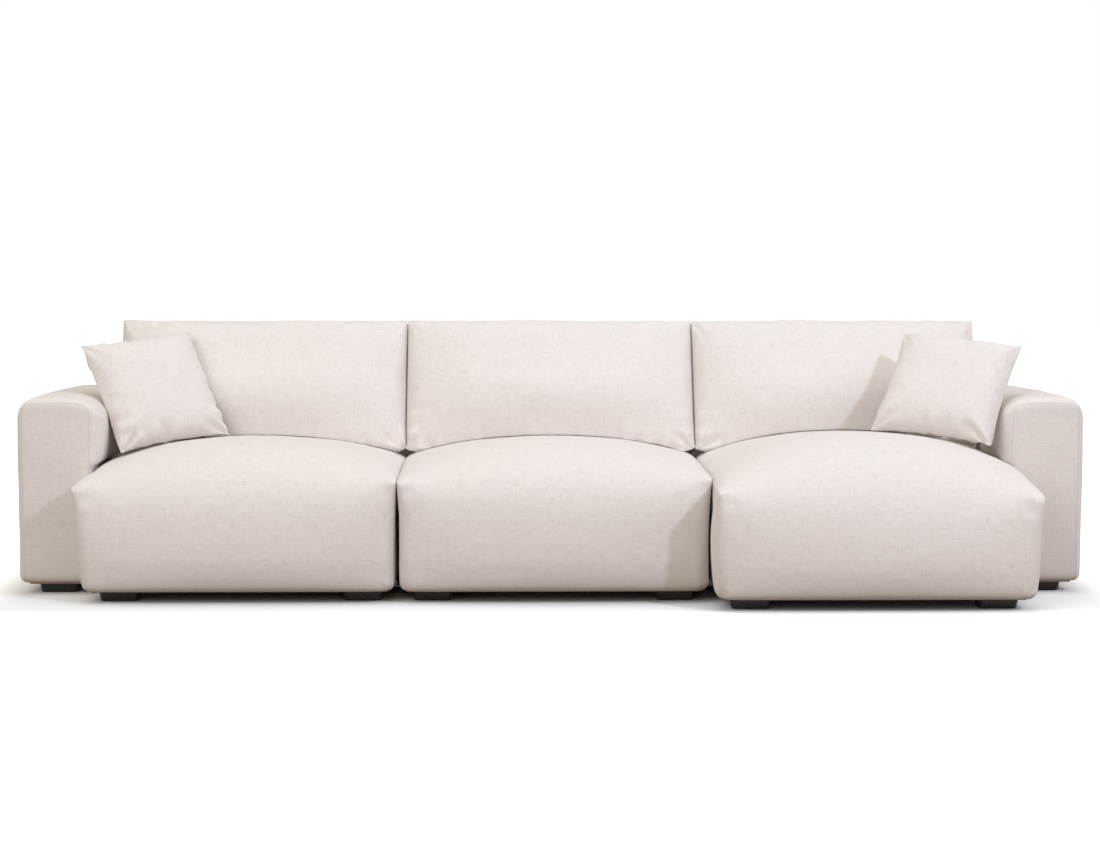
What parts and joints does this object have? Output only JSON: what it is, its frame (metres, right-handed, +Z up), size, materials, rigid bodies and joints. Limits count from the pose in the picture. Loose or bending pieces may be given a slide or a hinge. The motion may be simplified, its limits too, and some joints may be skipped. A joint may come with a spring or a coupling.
{
  "type": "corner sofa",
  "caption": "Modular corner sofa with a short chaise end, wide padded arms, loose back cushions and scatter cushions on low block feet.",
  "frame": {"origin": "on the floor under the middle of the sofa's bounding box", "axes": "+X to the right as one faces the seats, towards the chaise end; +Y from the seats' front to the rear; +Z up"},
  "size_m": [3.2978, 1.17, 0.8299],
  "materials": {
    "upholstery": "off-white slubbed linen weave",
    "lining": "black non-woven lining",
    "webbing": "dark elastic webbing",
    "foam": "open-cell upholstery foam",
    "filling": "white fibre-filled inner cushion",
    "timber": "bare sawn timber",
    "foot": "black moulded block",
    "zip": "beige coil zip on tape",
    "steel": "grey coated steel"
  },
  "bodies": {
    "centre_module": {"centre_base_frame": "timber", "centre_webbing": "webbing", "centre_lining": "lining", "centre_foam_core": "foam", "centre_seat_cover": "upholstery", "centre_back_frame": "timber", "centre_back_cover": "upholstery", "centre_foot_front_left": "foot", "centre_foot_front_right": "foot", "centre_foot_rear_left": "foot", "centre_foot_rear_right": "foot", "left_pin_rail": "steel", "chaise_pin_rail": "steel"},
    "left_module": {"left_base_frame": "timber", "left_webbing": "webbing", "left_lining": "lining", "left_foam_core": "foam", "left_seat_cover": "upholstery", "left_back_frame": "timber", "left_back_cover": "upholstery", "left_foot_front_left": "foot", "left_foot_front_right": "foot", "left_foot_rear_left": "foot", "left_foot_rear_right": "foot", "left_arm_cover": "upholstery", "left_arm_frame": "timber", "left_arm_foot_front": "foot", "left_arm_foot_rear": "foot", "left_socket_rail": "steel"},
    "chaise_module": {"chaise_base_frame": "timber", "chaise_webbing": "webbing", "chaise_lining": "lining", "chaise_foam_core": "foam", "chaise_seat_cover": "upholstery", "chaise_back_frame": "timber", "chaise_back_cover": "upholstery", "chaise_foot_front_left": "foot", "chaise_foot_front_right": "foot", "chaise_foot_rear_left": "foot", "chaise_foot_rear_right": "foot", "right_arm_cover": "upholstery", "right_arm_frame": "timber", "right_arm_foot_front": "foot", "right_arm_foot_rear": "foot", "chaise_socket_rail": "steel"},
    "centre_back_cushion": {"centre_back_cushion_case": "upholstery", "centre_back_cushion_pad": "filling", "centre_back_cushion_zip": "zip"},
    "left_back_cushion": {"left_back_cushion_case": "upholstery", "left_back_cushion_pad": "filling", "left_back_cushion_zip": "zip"},
    "chaise_back_cushion": {"chaise_back_cushion_case": "upholstery", "chaise_back_cushion_pad": "filling", "chaise_back_cushion_zip": "zip"},
    "left_scatter_cushion": {"left_scatter_case": "upholstery", "left_scatter_pad": "filling", "left_scatter_zip": "zip"},
    "right_scatter_cushion": {"right_scatter_case": "upholstery", "right_scatter_pad": "filling", "right_scatter_zip": "zip"}
  },
  "joints": [
    {"name": "left_module_lift", "type": "slide", "parent": "centre_module", "child": "left_module", "axis": [0, 0, 1], "range_m": [0, 0.05]},
    {"name": "chaise_module_lift", "type": "slide", "parent": "centre_module", "child": "chaise_module", "axis": [0, 0, 1], "range_m": [0, 0.05]},
    {"name": "centre_back_cushion_lift", "type": "slide", "parent": "centre_module", "child": "centre_back_cushion", "axis": [0, 0, 1], "range_m": [0, 0.25]},
    {"name": "left_back_cushion_lift", "type": "slide", "parent": "left_module", "child": "left_back_cushion", "axis": [0, 0, 1], "range_m": [0, 0.25]},
    {"name": "chaise_back_cushion_lift", "type": "slide", "parent": "chaise_module", "child": "chaise_back_cushion", "axis": [0, 0, 1], "range_m": [0, 0.25]},
    {"name": "left_scatter_cushion_pull", "type": "slide", "parent": "left_back_cushion", "child": "left_scatter_cushion", "axis": [0.3003, -0.4504, 0.8408], "range_m": [0, 0.25]},
    {"name": "right_scatter_cushion_pull", "type": "slide", "parent": "chaise_back_cushion", "child": "right_scatter_cushion", "axis": [-0.3003, -0.4504, 0.8408], "range_m": [0, 0.25]}
  ]
}
